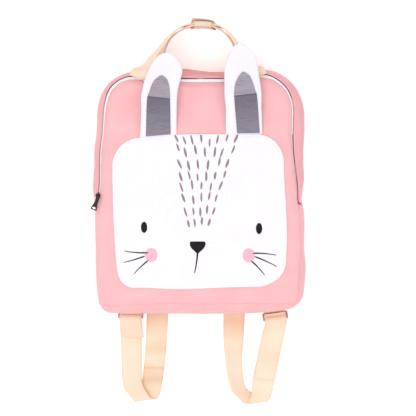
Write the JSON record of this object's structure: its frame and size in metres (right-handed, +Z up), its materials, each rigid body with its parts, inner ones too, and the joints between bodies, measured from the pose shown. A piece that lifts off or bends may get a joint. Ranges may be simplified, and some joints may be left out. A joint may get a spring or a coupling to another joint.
{
  "type": "kids animal backpack",
  "caption": "Soft zipped children's backpack with an animal face panel, standing ears, webbing carry handles and webbing shoulder straps, lying on its back.",
  "frame": {"origin": "middle of the part's outline seen from above, on the surface that it lies on", "axes": "+Z up through the bag's front, +Y towards the bag's top and its handles, -Y towards the shoulder straps' loops, +X to the right as seen from above"},
  "size_m": [0.304, 0.5532, 0.098],
  "materials": {
    "pink_canvas": "matte woven canvas",
    "white_cloth": "matte smooth cloth",
    "grey_lining": "matte melange cloth",
    "zip_tape": "matte woven tape",
    "cream_webbing": "matte ribbed webbing",
    "slider_metal": "satin",
    "zip_metal": "semi-gloss gunmetal"
  },
  "bodies": {
    "root": {"back_panel": "pink_canvas", "top_gusset": "pink_canvas", "base_gusset": "pink_canvas", "front_panel": "pink_canvas", "zip_tape": "zip_tape", "face_panel": "white_cloth", "ear_left": "white_cloth", "ear_right": "white_cloth", "ear_lining_left": "grey_lining", "ear_lining_right": "grey_lining", "handle_front": "cream_webbing", "handle_back": "cream_webbing", "handle_wrap": "cream_webbing", "strap_left": "cream_webbing", "strap_right": "cream_webbing", "strap_tab_left": "cream_webbing", "strap_tab_right": "cream_webbing", "strap_slider_left": "slider_metal", "strap_slider_right": "slider_metal", "zip_slider": "zip_metal", "zip_puller": "zip_metal"}
  },
  "joints": []
}
